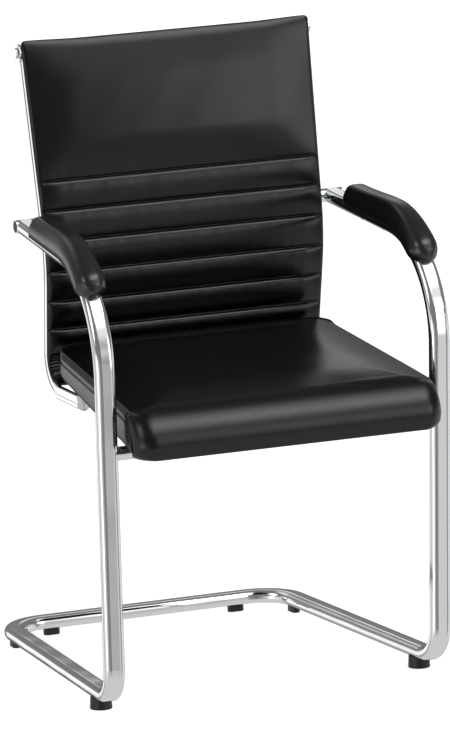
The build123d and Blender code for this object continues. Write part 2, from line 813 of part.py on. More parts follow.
# Steel strip inside the pad, and the screws that pull it down onto the tube
plate_middle = arm_bend_start + pad_straight / 2
tube_top = tube_depth / 2
plate_spot = arm_plane.from_local_coords(Vector(plate_middle, tube_top + weld_gap, 0))
plate_plane = Plane(origin=plate_spot, x_dir=arm_run, z_dir=arm_plane.y_dir)
screw_offsets = (-pad_screw_spread / 2, pad_screw_spread / 2)
with BuildPart() as arm_pad_plate:
    with BuildSketch(plate_plane):
        RectangleRounded(pad_plate_length, pad_plate_width, pad_plate_corner)
        with Locations(*[(offset, 0) for offset in screw_offsets]):
            Circle((pad_screw_diameter + hole_clearance) / 2, mode=Mode.SUBTRACT)
    extrude(amount=pad_plate_thickness)
keep_pair(arm_pad_plate.part, "arm_pad_plate")

pad_screw_length = tube_depth + 2 * weld_gap + pad_plate_thickness + pad_screw_tip
pad_screw_planes = [
    Plane(
        origin=arm_plane.from_local_coords(Vector(plate_middle + offset, -tube_top - weld_gap, 0)),
        x_dir=arm_run,
        z_dir=arm_plane.y_dir,
    )
    for offset in screw_offsets
]
with BuildPart() as arm_pad_screws:
    for plane in pad_screw_planes:
        piece = screw(plane, pad_screw_diameter, pad_screw_length, pad_screw_head, pad_screw_head_height)
        add(piece)
        mirror(piece, about=Plane.YZ)
keep(arm_pad_screws.part, "arm_pad_screws")
pad_screw_drills = [
    rod(plane.offset(-weld_gap), pad_screw_diameter + hole_clearance, pad_screw_length + 2 * weld_gap)
    for plane in pad_screw_planes
]
# The pad itself, lofted through its stations and hollowed for the tube, strip and screws
with BuildPart() as arm_pad:
    for behind, turn, height, size in pad_stations:
        with BuildSketch(arm_frame(behind, radians(turn))) as section:
            with BuildLine():
                pad_outline(height, size)
            make_face()
            fillet(section.vertices().group_by(Axis.Y)[-1], pad_edge_radius * size)
    loft(ruled=True)
    add(
        frame_run(tube_width + 2 * soft_gap, tube_depth + 2 * soft_gap, tube_corner + soft_gap),
        mode=Mode.SUBTRACT,
    )
    with BuildSketch(plate_plane):
        RectangleRounded(
            pad_plate_length + 2 * soft_gap, pad_plate_width + 2 * soft_gap, pad_plate_corner + soft_gap
        )
    extrude(amount=pad_plate_thickness + soft_gap, mode=Mode.SUBTRACT)
    for drill in pad_screw_drills:
        add(drill, mode=Mode.SUBTRACT)
keep_pair(arm_pad.part, "arm_pad")

# Feet under the side tubes and the crossbar, each cut to the tube above it
rail_way = rear_corner - foot_corner


def on_rail(y):
    """The point of the side tube's middle line at a given y."""
    return foot_corner + rail_way * ((y - foot_corner.Y) / rail_way.Y)


rail_angle = degrees(atan2(rail_way.Y, rail_way.X))
front_foot_spot = on_rail(front_foot_y)
rail_glide_spot = on_rail(rail_glide_y)
crossbar_glide_spot = Vector(crossbar_glide_x, crossbar_y, rail_rear_z)
foot_spots = (front_foot_spot, rail_glide_spot, crossbar_glide_spot)


def foot_drill(spot):
    """Screw hole up into the tube, with a recess for the head below."""
    low = Plane(origin=(spot.X, spot.Y, 0), z_dir=(0, 0, 1))
    with BuildPart() as drill:
        add(rod(low, foot_screw_diameter + hole_clearance, spot.Z))
        add(rod(low, foot_screw_head + 2 * hole_clearance, foot_recess_depth))
    return drill.part


with BuildPart() as front_foot:
    with BuildSketch():
        with Locations((front_foot_spot.X, front_foot_spot.Y)):
            Circle(front_foot_diameter / 2)
    extrude(amount=front_foot_spot.Z - tube_depth / 2 + foot_saddle, taper=front_foot_taper)
    fillet(front_foot.faces().sort_by(Axis.Z)[0].edges(), foot_edge_radius)
    add(frame_room, mode=Mode.SUBTRACT)
    add(foot_drill(front_foot_spot), mode=Mode.SUBTRACT)
keep_pair(front_foot.part, "front_foot")


def glide(spot, angle):
    """A long low glide under the tube."""
    with BuildPart() as block:
        with BuildSketch():
            with Locations(Location((spot.X, spot.Y, 0), (0, 0, angle))):
                SlotOverall(glide_length, glide_width)
        extrude(amount=spot.Z - tube_depth / 2 + foot_saddle)
        fillet(block.faces().sort_by(Axis.Z)[0].edges(), foot_edge_radius)
        add(frame_room, mode=Mode.SUBTRACT)
        add(foot_drill(spot), mode=Mode.SUBTRACT)
    return block.part


keep_pair(glide(rail_glide_spot, rail_angle), "rail_glide")
keep_pair(glide(crossbar_glide_spot, 0), "crossbar_glide")

with BuildPart() as foot_screws:
    for spot in foot_spots:
        head_seat = Plane(origin=(spot.X, spot.Y, foot_recess_depth), z_dir=(0, 0, 1))
        reach = spot.Z - tube_depth / 2 - foot_recess_depth + foot_screw_reach
        piece = screw(
            head_seat.offset(-weld_gap), foot_screw_diameter, reach, foot_screw_head, foot_screw_head_height
        )
        add(piece)
        mirror(piece, about=Plane.YZ)
keep(foot_screws.part, "foot_screws")

# Frame halves: the bent tube, coped at the arm sleeve and drilled for the pad and foot screws
sleeve_room = rod(joint_axis, sleeve_diameter + 2 * weld_gap, 2 * upright_top_x)
foot_drills = [foot_drill(spot) for spot in foot_spots]
frame_half = drilled(frame_outside, frame_inside, sleeve_room, *pad_screw_drills, *foot_drills)
keep_pair(frame_half, "frame_tube")

# Sleeve that joins the halves inside the crossbar
crossbar_section = Plane(origin=crossbar_middle, x_dir=(0, 1, 0), z_dir=(1, 0, 0))
sleeve_inset = 2 * (tube_wall + tube_fit)
with BuildPart() as crossbar_joint_sleeve:
    with BuildSketch(crossbar_section):
        RectangleRounded(
            tube_width - sleeve_inset, tube_depth - sleeve_inset, tube_corner - tube_wall - tube_fit
        )
        RectangleRounded(
            tube_width - sleeve_inset - 2 * joint_sleeve_wall,
            tube_depth - sleeve_inset - 2 * joint_sleeve_wall,
            tube_corner - tube_wall - tube_fit - joint_sleeve_wall,
            mode=Mode.SUBTRACT,
        )
    extrude(amount=joint_sleeve_length / 2, both=True)
keep(crossbar_joint_sleeve.part, "crossbar_joint_sleeve")
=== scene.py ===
"""Looks of the visitor chair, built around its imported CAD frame. Metres, +Z up, the sitter faces -Y."""
import math

import bpy
import numpy as np
from mathutils import Matrix, Vector


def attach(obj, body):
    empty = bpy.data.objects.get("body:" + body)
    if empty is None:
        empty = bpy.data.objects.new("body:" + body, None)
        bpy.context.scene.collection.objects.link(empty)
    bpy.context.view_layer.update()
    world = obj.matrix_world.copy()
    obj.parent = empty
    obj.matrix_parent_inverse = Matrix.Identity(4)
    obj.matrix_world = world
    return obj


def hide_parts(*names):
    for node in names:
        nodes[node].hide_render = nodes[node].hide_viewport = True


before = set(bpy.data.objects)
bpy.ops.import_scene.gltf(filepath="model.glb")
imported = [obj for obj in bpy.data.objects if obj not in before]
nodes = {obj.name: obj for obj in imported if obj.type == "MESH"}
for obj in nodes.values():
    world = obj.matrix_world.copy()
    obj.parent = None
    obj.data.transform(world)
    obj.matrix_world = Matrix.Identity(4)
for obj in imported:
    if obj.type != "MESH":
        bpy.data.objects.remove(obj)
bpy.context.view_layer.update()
MM = 0.001


# Chromed steel: the bent tube frame, its arm sleeves, cross tube and tabs, the back rails and their dome bolts.
# The CAD shapes are shown as they are, with polished chrome plate over drawn tube and flat bar.
# A slight waviness of the drawn tube keeps the reflections from running dead straight.
def rgb(code):
    """Linear colour of an sRGB hex code."""
    parts = [int(code[i:i + 2], 16) / 255 for i in (0, 2, 4)]
    return [c / 12.92 if c <= 0.04045 else ((c + 0.055) / 1.055) ** 2.4 for c in parts] + [1.0]


def add(tree, kind, settings=None, **sockets):
    """Adds a shader node. A socket, given by name or as in0, in1, takes a constant or another node's output."""
    made = tree.nodes.new("ShaderNode" + kind)
    for key, value in (settings or {}).items():
        setattr(made, key, value)
    for key, value in sockets.items():
        numbered = key.startswith("in") and key[2:].isdigit()
        socket = made.inputs[int(key[2:]) if numbered else key.replace("_", " ")]
        if isinstance(value, bpy.types.NodeSocket):
            tree.links.new(value, socket)
        else:
            socket.default_value = value
    return made


def material(name, colour, rough, **sockets):
    """A new material with one Principled surface; returns the material, its tree, shader and object coordinates."""
    mat = bpy.data.materials.new(name)
    mat.use_nodes = True
    tree = mat.node_tree
    shader = tree.nodes["Principled BSDF"]
    shader.inputs["Base Color"].default_value = rgb(colour)
    shader.inputs["Roughness"].default_value = rough
    for key, value in sockets.items():
        shader.inputs[key.replace("_", " ")].default_value = value
    place = add(tree, "TexCoord").outputs["Object"]
    return mat, tree, shader, place


def uneven_gloss(tree, shader, noise, low, high):
    """Lets the roughness wander between two values."""
    gloss = add(tree, "MapRange", Value=noise.outputs["Fac"], To_Min=low, To_Max=high)
    tree.links.new(gloss.outputs["Result"], shader.inputs["Roughness"])


def relief(tree, shader, height, strength, distance):
    """Bumps the surface by a height; the distance is in metres."""
    bump = add(tree, "Bump", Height=height, Strength=strength, Distance=distance)
    tree.links.new(bump.outputs["Normal"], shader.inputs["Normal"])


def shade_nodes(mat, *names):
    """Gives CAD nodes a material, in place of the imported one."""
    for name in names:
        mesh = nodes[name].data
        mesh.materials.clear()
        mesh.materials.append(mat)


chrome, tree, shader, place = material("chrome_plate_polished", "e4e6e8", 0.05, Metallic=1.0)
haze = add(tree, "TexNoise", Vector=place, Scale=35.0, Detail=3.0)
uneven_gloss(tree, shader, haze, 0.03, 0.09)
waviness = add(tree, "TexNoise", Vector=place, Scale=9.0, Detail=1.0)
relief(tree, shader, waviness.outputs["Fac"], strength=1.0, distance=0.0022)
shade_nodes(
    chrome, "frame_tube_left", "frame_tube_right", "arm_sleeve_left", "arm_sleeve_right", "seat_cross_tube",
    "seat_tab_left", "seat_tab_right", "back_rail_left", "back_rail_right", "rail_top_bolts",
)

# Zinc-plated steel: spreaders behind the back, fasteners, spacers, pad plates and inserts.
# Small CAD pieces, dull bright plating with fine mottling.
zinc, tree, shader, place = material("zinc_plated_steel", "a9abad", 0.34, Metallic=1.0)
mottle = add(tree, "TexNoise", Vector=place, Scale=220.0, Detail=4.0)
uneven_gloss(tree, shader, mottle, 0.26, 0.45)
shade_nodes(
    zinc, "back_top_spreader", "back_mid_spreader", "spreader_inserts", "arm_bolts", "arm_pad_plate_left",
    "arm_pad_plate_right", "arm_pad_screws", "back_panel_screws", "crossbar_joint_sleeve", "foot_screws",
    "rail_spacers", "seat_bolts", "seat_tee_nuts",
)

# Moulded black plastic: front feet, glides and the caps on the arm sleeves.
# CAD shapes with a fine spark-eroded mould texture; feet and glides are screwed on, the caps pressed in.
plastic, tree, shader, place = material("black_plastic_moulded", "161616", 0.48)
pits = add(tree, "TexNoise", Vector=place, Scale=2600.0, Detail=2.0)
relief(tree, shader, pits.outputs["Fac"], strength=0.25, distance=0.0002)
shade_nodes(
    plastic, "front_foot_left", "front_foot_right", "rail_glide_left", "rail_glide_right",
    "crossbar_glide_left", "crossbar_glide_right", "arm_bolt_cap_left", "arm_bolt_cap_right",
)

# Seat board and dust cover: pressed plywood with its layers, closed below with black non-woven lining.
# Seen only from underneath, inside the cushion's lip.
plywood, tree, shader, place = material("beech_plywood_pressed", "b08d5e", 0.6)
layers = add(tree, "TexWave", {"bands_direction": "Z"}, Vector=place, Scale=90.0, Distortion=1.5, Detail=2.0)
tone = add(tree, "Mix", {"data_type": "RGBA"}, Factor=layers.outputs["Fac"], in6=rgb("9c7a4c"), in7=rgb("bf9d6e"))
tree.links.new(tone.outputs[2], shader.inputs["Base Color"])
shade_nodes(plywood, "seat_board")
lining, tree, shader, place = material("black_lining_nonwoven", "121212", 0.9)
fibre = add(tree, "TexNoise", Vector=place, Scale=900.0, Detail=6.0)
relief(tree, shader, fibre.outputs["Fac"], strength=0.5, distance=0.0004)
shade_nodes(lining, "seat_dust_cover")


# Seat cushion: foam wedge under black leather, one piece over top, nose and tail, with a gusset on each side.
# The gusset's upper edge has a sewn seam and a band with a second row of stitches.
# Its lower edge rolls in to a lip under the seat board.
def smooth(low, high, value):
    """Smooth step from 0 at low to 1 at high, where high may be the smaller."""
    t = np.clip((value - low) / (high - low), 0.0, 1.0)
    return t * t * (3 - 2 * t)


def fallen(radius, past):
    """How far a rounded edge has fallen away, at a distance past the start of its curve."""
    return radius - np.sqrt(np.maximum(radius ** 2 - past ** 2, 0))


def ripple(value, seed, lengths):
    """Uneven waves along a line, from -1 to 1, with the given wave lengths in mm."""
    random = np.random.default_rng(seed)
    waves = [np.sin(2 * np.pi * value / length + random.uniform(0, 6.28)) for length in lengths]
    return sum(waves) / len(waves)


def distances(line):
    """Distance of each point along a line."""
    return np.concatenate([[0], np.cumsum(np.linalg.norm(np.diff(line, axis=0), axis=1))])


def sheet_faces(rows, columns, start=0, flip=False):
    """Quads of a grid whose points are numbered row by row."""
    a = (np.arange(rows - 1)[:, None] * columns + np.arange(columns - 1)[None, :]).ravel() + start
    quads = np.stack([a, a + 1, a + 1 + columns, a + columns], 1)
    return quads[:, ::-1] if flip else quads


def piece(name, points, faces, mat):
    """A smooth-shaded mesh object from points in mm and lists of their numbers."""
    mesh = bpy.data.meshes.new(name)
    mesh.from_pydata((points * MM).tolist(), [], faces)
    mesh.update()
    mesh.shade_smooth()
    mesh.materials.append(mat)
    made = bpy.data.objects.new(name, mesh)
    bpy.context.scene.collection.objects.link(made)
    return made


leather, tree, shader, place = material("black_leather_satin", "050506", 0.25, Specular_IOR_Level=0.43)
grain = add(tree, "TexVoronoi", {"feature": "SMOOTH_F1"}, Vector=place, Scale=750.0).outputs["Distance"]
wrinkles = add(tree, "TexNoise", Vector=place, Scale=140.0, Detail=5.0).outputs["Fac"]
height = add(tree, "Math", {"operation": "MULTIPLY_ADD"}, in0=wrinkles, in1=0.5, in2=grain)
relief(tree, shader, height.outputs["Value"], strength=0.22, distance=0.0004)
wear = add(tree, "TexNoise", Vector=place, Scale=12.0, Detail=4.0)
uneven_gloss(tree, shader, wear, 0.19, 0.30)

# Sizes of the seat in mm: ends, half widths, lower and upper edges with their rise per mm, then its roundings
SEAT_FRONT, SEAT_TAIL = -326.0, 72.5
SEAT_HALF_FRONT, SEAT_HALF_TAIL = 231.9, 209.9
SEAT_LOW, SEAT_LOW_RISE = 379.5, 0.1495
EDGE_FRONT, EDGE_RISE = 441.0, 0.0998
NOSE_CORNER, TAIL_CORNER = 28.0, 34.0
EDGE_ROLL, EDGE_TUCK = 4.5, 12.0
NOSE_LONG, NOSE_HIGH = 48, 46
TAIL_LONG, TAIL_HIGH = 16, 14
FRONT_SLANT = 5
CROWN, CROWN_REACH = 14, 95
STITCHES_DOWN = 9.0
LIP = 10


def seat_half(y):
    """Half width of the seat at a distance from its nose."""
    return SEAT_HALF_FRONT + (SEAT_HALF_TAIL - SEAT_HALF_FRONT) * (y - SEAT_FRONT) / (SEAT_TAIL - SEAT_FRONT)


def seat_low(y):
    """Height of the cushion's lower edge."""
    return SEAT_LOW + SEAT_LOW_RISE * (y - SEAT_FRONT)


def seat_edge(y):
    """Height of the cushion's upper edge before its crown."""
    return EDGE_FRONT + EDGE_RISE * (y - SEAT_FRONT)


def tucked(height):
    """How far the cushion's sides roll in at a height above its lower edge."""
    return fallen(EDGE_TUCK, np.clip(EDGE_TUCK - height, 0, EDGE_TUCK))


def seat_profile():
    """Side view of the cushion from the lip under its tail, over the top, to the lip under its nose."""
    turn = np.radians(np.linspace(0, 90, 24))
    sine, cosine = np.sin(turn), np.cos(turn)
    lip_tail = np.array([[8.0, seat_low(8) + 1.5], [18.0, seat_low(18) - 0.5]])
    tail_low = np.stack([30 + 36 * sine, seat_low(38) + 28 * (1 - cosine)], 1)
    tail_top = np.stack([SEAT_TAIL - TAIL_LONG * (1 - cosine), seat_edge(SEAT_TAIL) - TAIL_HIGH * (1 - sine)], 1)
    top_y = np.linspace(SEAT_TAIL - TAIL_LONG - 1, SEAT_FRONT + NOSE_LONG + 2, 120)
    top = np.stack([top_y, seat_edge(top_y)], 1)
    nose_y = SEAT_FRONT + NOSE_LONG * (1 - sine)
    nose = np.stack([nose_y, seat_edge(SEAT_FRONT + NOSE_LONG) - NOSE_HIGH * (1 - cosine)], 1)
    front_y = np.linspace(SEAT_FRONT, SEAT_FRONT + FRONT_SLANT, 12)[1:]
    front = np.stack([front_y, np.linspace(nose[-1, 1], seat_low(SEAT_FRONT + FRONT_SLANT), 12)[1:]], 1)
    lip_y = np.array([SEAT_FRONT + 9, SEAT_FRONT + 18])
    lip_front = np.stack([lip_y, seat_low(lip_y) + np.array([-1.0, 1.5])], 1)
    line = np.concatenate([lip_tail, tail_low, tail_top, top, nose, front, lip_front])
    gaps = distances(line)
    even = np.linspace(0, gaps[-1], 300)
    return np.stack([np.interp(even, gaps, line[:, 0]), np.interp(even, gaps, line[:, 1])], 1)


# Top sheet: the profile drawn across, with rounded corners, a crown, a slight belly and folds
profile = seat_profile()
across = np.sin(np.linspace(-1, 1, 141) * np.pi / 2)
across = 0.55 * across + 0.45 * np.linspace(-1, 1, 141)
y_line, z_line = profile[:, :1], profile[:, 1:]
half = seat_half(y_line)
above_low = z_line - seat_low(y_line)
reach = np.abs(across)[None, :] * half
nose_round = fallen(NOSE_CORNER, np.maximum(reach - (half - NOSE_CORNER), 0))
tail_round = fallen(TAIL_CORNER, np.maximum(reach - (half - TAIL_CORNER), 0))
edge_roll = fallen(EDGE_ROLL, np.maximum(reach - (half - EDGE_ROLL), 0))
rolled = tucked(above_low) * smooth(half - 40, half, reach)
inset = np.minimum(half - reach, np.minimum((SEAT_TAIL - y_line) * 1.1, (y_line - SEAT_FRONT) * 0.9))
on_nose = np.clip((above_low - 16) / (seat_edge(y_line) - seat_low(y_line) - 16), 0, 1)
on_top = smooth(0.0, 1.0, on_nose)
crown = CROWN * np.sin(np.pi / 2 * np.clip(inset / CROWN_REACH, 0, 1)) * on_top
belly = 2.0 * np.sin(np.pi * np.clip(above_low / 60, 0, 1)) * smooth(-290, -320, y_line)
folds = 0.3 * ripple(0.25 * reach * np.sign(across) + y_line, 3, (74, 127, 210)) * on_top * smooth(0, 60, inset)
top_x = across[None, :] * half - np.sign(across) * rolled
top_y = y_line + nose_round * smooth(-230, -326, y_line) - tail_round * smooth(20, 72, y_line)
top_z = z_line + crown - edge_roll * smooth(0.0, 0.4, above_low / 40) + folds
top_points = np.stack([top_x, top_y - belly, top_z], 2)
rows, columns = top_points.shape[:2]
points = [top_points.reshape(-1, 3)]
faces = [sheet_faces(rows, columns)]
count = rows * columns

# Gussets: each hangs from the sheet's rim, with the seam, the stitched band and a lip below
down = np.concatenate([np.linspace(0, 0.2, 14), np.linspace(0.24, 1.0, 24)])
for side, column in ((-1, 0), (1, columns - 1)):
    rim = top_points[2:-2, column]
    rim_x, rim_y, rim_z = rim[:, :1], rim[:, 1:2], rim[:, 2:]
    drop = np.maximum(rim_z - seat_low(rim_y), 0.0)
    depth = drop * down
    stitches = 0.9 * np.exp(-((depth - STITCHES_DOWN) / 1.5) ** 2) * smooth(0, 14, drop)
    seam = np.exp(-(depth / 1.6) ** 2) + stitches
    band = 0.8 * smooth(0.4, 2.0, depth) * (1 - smooth(7.0, 9.5, depth))
    bulge = 2.2 * np.sin(np.pi * down) * smooth(6, 30, drop)
    pucker = 0.16 * ripple(rim_y + 0 * depth, 5, (9, 13, 21)) * np.exp(-(depth - 3) / 14) * smooth(4, 20, drop)
    out = bulge + band - 2.2 * seam + pucker - tucked(drop - depth) + tucked(drop)
    wall = np.stack([rim_x + side * out, rim_y + 0 * out, rim_z - depth], 2)
    lip = wall[:, -1:].copy()
    lip[:, :, 0] -= side * LIP
    lip[:, :, 2] += 1.0
    wall = np.concatenate([wall, lip], 1)
    points.append(wall.reshape(-1, 3))
    faces.append(sheet_faces(wall.shape[0], wall.shape[1], count, flip=side > 0))
    count += wall.shape[0] * wall.shape[1]
seat = piece("seat_upholstery", np.concatenate(points), np.concatenate(faces).tolist(), leather)
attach(seat, "root")
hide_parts("seat_cushion")


# Back panel: foam and black leather stretched over the front of the two rails, sewn across into ribs.
# Plain at the head, drawn in at both edges, and tucked in creases round the heel behind the seat.
def filleted(corners, radii, step):
    """Points and tangents at even steps along a line whose corners are rounded."""
    corners = [np.array(c, float) for c in corners]
    trail = [corners[0]]
    for before, corner, after, radius in zip(corners, corners[1:], corners[2:], radii):
        a = (before - corner) / np.linalg.norm(before - corner)
        b = (after - corner) / np.linalg.norm(after - corner)
        turn = np.pi - np.arccos(a @ b)
        reach = radius * np.tan(turn / 2)
        centre = corner + (a + b) / np.linalg.norm(a + b) * np.hypot(radius, reach)
        start, end = corner + a * reach - centre, corner + b * reach - centre
        for w in np.linspace(0, 1, 40):
            trail.append(centre + (np.sin((1 - w) * turn) * start + np.sin(w * turn) * end) / np.sin(turn))
    trail.append(corners[-1])
    trail = np.array(trail)
    gaps = distances(trail)
    even = np.arange(0, gaps[-1], step)
    spots = np.stack([np.interp(even, gaps, trail[:, k]) for k in range(trail.shape[1])], 1)
    run = np.gradient(spots, axis=0)
    return even, spots, run / np.linalg.norm(run, axis=1)[:, None]


def quarter_round(share):
    """Height of a quarter circle at a share of its width, both from 0 to 1."""
    return np.sqrt(np.clip(1 - (1 - np.clip(share, 0, 1)) ** 2, 0, 1))


# Sizes in mm: the rails' middle line seen from the side, the panel along it, and its layers ahead of that line
RAIL_FOOT_Z, RAIL_HIGH = 413.0, 492
RAIL_CORNERS, RAIL_RADII = [(131, RAIL_HIGH), (81.5, 192), (116.5, 0), (-18, 0)], [250, 45]
RIB = 42.5
SEAMS = 192.5 + RIB * np.arange(6)
PANEL_TOP, PANEL_END = -9.0, 522.5
PANEL_HALF_LOW, PANEL_HALF_GAIN = 210.8, 11
REAR, VALLEY, CREST = 10.4, 16.4, 23.4
HEAD_CORNER, HEAD_FULLNESS = 7.0, 8.0
TOP_ROUND, SIDE_ROUND = 16, 6
THINNEST = 0.02
along, spots, run = filleted(RAIL_CORNERS, RAIL_RADII, 0.5)

# Rows of points down the panel, closer at the seams and round the heel
trial = np.linspace(0, PANEL_END, 6000)
near_seam = np.exp(-(((trial[:, None] - SEAMS[None, :] - 1.5) / 5) ** 2)).max(1)
closeness = 0.42 + 1.4 * near_seam + 0.35 * smooth(425, 440, trial)
rows_so_far = np.cumsum(closeness) * (trial[1] - trial[0])
panel_rows = np.interp(np.linspace(0, 1, 340) * rows_so_far[-1], rows_so_far, trial)
down_s = np.concatenate([np.linspace(PANEL_TOP, panel_rows[0], 16)[:-1], panel_rows])
down_column = down_s[:, None]
base = np.stack([np.interp(down_s, along, spots[:, k]) for k in (0, 1)], 1)
way = np.stack([np.interp(down_s, along, run[:, k]) for k in (0, 1)], 1)
base = base + way * np.minimum(down_column, 0)
ahead = np.stack([way[:, 1], -way[:, 0]], 1)
panel_z = RAIL_FOOT_Z + base[:, 1]
panel_half = PANEL_HALF_LOW + PANEL_HALF_GAIN * (panel_z - RAIL_FOOT_Z) / RAIL_HIGH
across = np.linspace(-1, 1, 121)
across = 0.6 * np.sin(across * np.pi / 2) + 0.4 * across
reach = panel_half[:, None] - np.abs(across)[None, :] * panel_half[:, None]
corner_cut = fallen(HEAD_CORNER, np.clip(HEAD_CORNER - (down_s - PANEL_TOP), 0, HEAD_CORNER))
sideways = across[None, :] * (panel_half - corner_cut)[:, None]

# Front of the panel: a full head, ribs that swell below each seam, and small puckers, sags and creases
swell = np.zeros(len(down_s))
head = down_s < SEAMS[0]
swell[head] = np.sin(np.pi * np.clip((down_s[head] - PANEL_TOP) / (SEAMS[0] - PANEL_TOP), 0, 1)) ** 0.45
for seam in SEAMS:
    rib = (down_s >= seam) & (down_s < seam + RIB)
    share = (down_s[rib] - seam) / RIB
    swell[rib] = np.sin(np.pi * share ** 0.58) ** 0.66
heel = smooth(430, 470, down_s)
swell = swell * (1 - heel)
from_seam = np.min(np.abs(down_column - SEAMS[None, :]), 1)[:, None]
on_head = smooth(SEAMS[0] - 4, SEAMS[0] - 60, down_column)
drawn = 0.3 + 0.7 * np.sin(np.pi / 2 * np.clip(reach / (34 + 36 * on_head), 0, 1))
fullness = HEAD_FULLNESS * (1 - across[None, :] ** 2) * on_head * smooth(PANEL_TOP, 60, down_column)
stitch = np.exp(-((from_seam / 1.6) ** 2))
puckers = np.exp(-from_seam / 9) * ripple(sideways + 37 * np.round(down_column / RIB), 11, (17, 26, 41, 67))
sag = ripple(sideways + 0.6 * down_column, 17, (71, 113, 190)) * smooth(0, 60, reach)
creases = ripple(down_column + 3 * ripple(sideways, 5, (23, 37)), 21, (7.3, 9.1, 12.7)) * heel[:, None]
front = VALLEY + (CREST - VALLEY) * swell[:, None] * drawn + fullness
front = front - 1.4 * stitch + 0.45 * puckers + 0.22 * sag + 0.9 * creases
middle = (REAR + VALLEY) / 2
rounded = quarter_round((down_column - PANEL_TOP) / TOP_ROUND) * quarter_round(reach / SIDE_ROUND)
front = middle + (front - middle) * np.maximum(rounded, THINNEST)
rear = middle + (REAR - middle) * np.maximum(rounded, THINNEST)


def panel_points(offset):
    """Points of the panel, an offset ahead of the rails' middle line."""
    y = base[:, :1] + ahead[:, :1] * offset
    z = panel_z[:, None] + ahead[:, 1:] * offset
    z = z + 2.2 * smooth(90, 0, reach) * smooth(70, -9, down_column)
    return np.stack([sideways, y, z], 2)


front_points, rear_points = panel_points(front), panel_points(rear)
rows, columns = front_points.shape[:2]
count = rows * columns
one_row, one_column = np.arange(columns), np.arange(rows) * columns
border = [one_row, one_column + columns - 1, (one_row + (rows - 1) * columns)[::-1], one_column[::-1]]
hem = [np.stack([line[:-1], line[1:], line[1:] + count, line[:-1] + count], 1)[:, ::-1] for line in border]
faces = np.concatenate([sheet_faces(rows, columns), sheet_faces(rows, columns, count, flip=True)] + hem)
points = np.concatenate([front_points.reshape(-1, 3), rear_points.reshape(-1, 3)])
back = piece("back_upholstery", points, faces.tolist(), leather)
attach(back, "root")
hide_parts("back_panel")


# Arm pads: self-skinned black foam moulded over the arm and down part of its bend.
# A trapezium with soft ridges that runs out into a rounded nose; each pad is screwed up from below.
foam, tree, shader, place = material("black_foam_self_skinned", "161616", 0.27, Specular_IOR_Level=0.7)
peel = add(tree, "TexNoise", Vector=place, Scale=420.0, Detail=2.0)
relief(tree, shader, peel.outputs["Fac"], strength=0.08, distance=0.0004)

# Sizes in mm: the right arm's middle line and its bend, half the tube's height, and the pad on it
ARM_END, ARM_CORNER, ARM_FOOT = (237.4, 89.9, 656.1), (254.0, -265.0, 628.0), (248.5, -231.0, 26.0)
BEND_RADIUS = 145
TUBE_HALF = 10
PAD_HALF, PAD_HIGH, PAD_ARCH = 22.5, 23.8, 5.0
TAIL_ROUND, TIP_ROUND = 10, 23
along, spots, run = filleted([ARM_END, ARM_CORNER, ARM_FOOT], [BEND_RADIUS], 0.5)
arm_long = np.linalg.norm(np.subtract(ARM_CORNER, ARM_END))
arm_way = np.subtract(ARM_CORNER, ARM_END) / arm_long
leg_way = np.subtract(ARM_FOOT, ARM_CORNER) / np.linalg.norm(np.subtract(ARM_FOOT, ARM_CORNER))
bend = np.arccos(arm_way @ leg_way)
bend_start = arm_long - BEND_RADIUS * math.tan(bend / 2)
PAD_START, PAD_END = bend_start - 136, bend_start + BEND_RADIUS * math.radians(42.5)
PAD_SIDE = np.cross(arm_way, leg_way)
PAD_SIDE = PAD_SIDE / np.linalg.norm(PAD_SIDE) * np.sign(PAD_SIDE[0])


def pad_ring(wide, tall, roundness):
    """Section of the pad on the tube: across, outwards. The skirt hugs the tube while the pad is wider than it."""
    low = TUBE_HALF - 5.0 * float(smooth(13, 19, wide))
    knee = TUBE_HALF + tall * 0.30
    top = TUBE_HALF + tall
    flat = wide * 0.60
    corners = np.array([(wide, low), (wide, knee), (flat, top), (-flat, top), (-wide, knee), (-wide, low)])
    ring = [corners[0]]
    for k in (1, 2, 3, 4):
        a, b = corners[k - 1] - corners[k], corners[k + 1] - corners[k]
        cut_a = min(roundness * np.linalg.norm(a), np.linalg.norm(a) * 0.48)
        cut_b = min(roundness * np.linalg.norm(b), np.linalg.norm(b) * 0.48)
        a = corners[k] + a / max(np.linalg.norm(a), 1e-6) * cut_a
        b = corners[k] + b / max(np.linalg.norm(b), 1e-6) * cut_b
        for t in np.linspace(0, 1, 11):
            ring.append((1 - t) ** 2 * a + 2 * t * (1 - t) * corners[k] + t * t * b)
    ring.append(corners[5])
    inner = min(wide - 0.2, 15.5)
    ring += [np.array((x, y)) for x, y in ((-inner, low), (-inner, 9.0), (0.0, 10.3), (inner, 9.0), (inner, low))]
    return np.array(ring)


rings = []
for step in 1 - (1 - np.linspace(0, 1, 120)) ** 1.35:
    s = PAD_START + (PAD_END - PAD_START) * step
    tail = float(quarter_round((s - PAD_START) / TAIL_ROUND))
    tip = float(quarter_round((PAD_END - s) / TIP_ROUND))
    bulb = float(smooth(PAD_END - 75, PAD_END - 26, s))
    arch = math.exp(-((s - bend_start + 4) / 68) ** 2)
    wide = (PAD_HALF - 1.2 * (1 - bulb)) * (0.86 + 0.14 * tail) * max(tip, 0.05)
    tall = (PAD_HIGH + PAD_ARCH * arch) * (0.80 + 0.20 * tail) * max(tip, 0.04) ** 0.8
    ring = pad_ring(wide, tall, 0.36 + 0.12 * bulb)
    spot = np.array([np.interp(s, along, spots[:, k]) for k in range(3)])
    tangent = np.array([np.interp(s, along, run[:, k]) for k in range(3)])
    outward = np.cross(PAD_SIDE, tangent)
    outward = outward / np.linalg.norm(outward)
    outward = outward if outward[2] > 0 or outward[1] < 0 else -outward
    rings.append(spot + ring[:, :1] * PAD_SIDE + ring[:, 1:] * outward)
rings = np.array(rings)
rows, columns = rings.shape[:2]
loop = np.concatenate([rings, rings[:, :1]], 1)
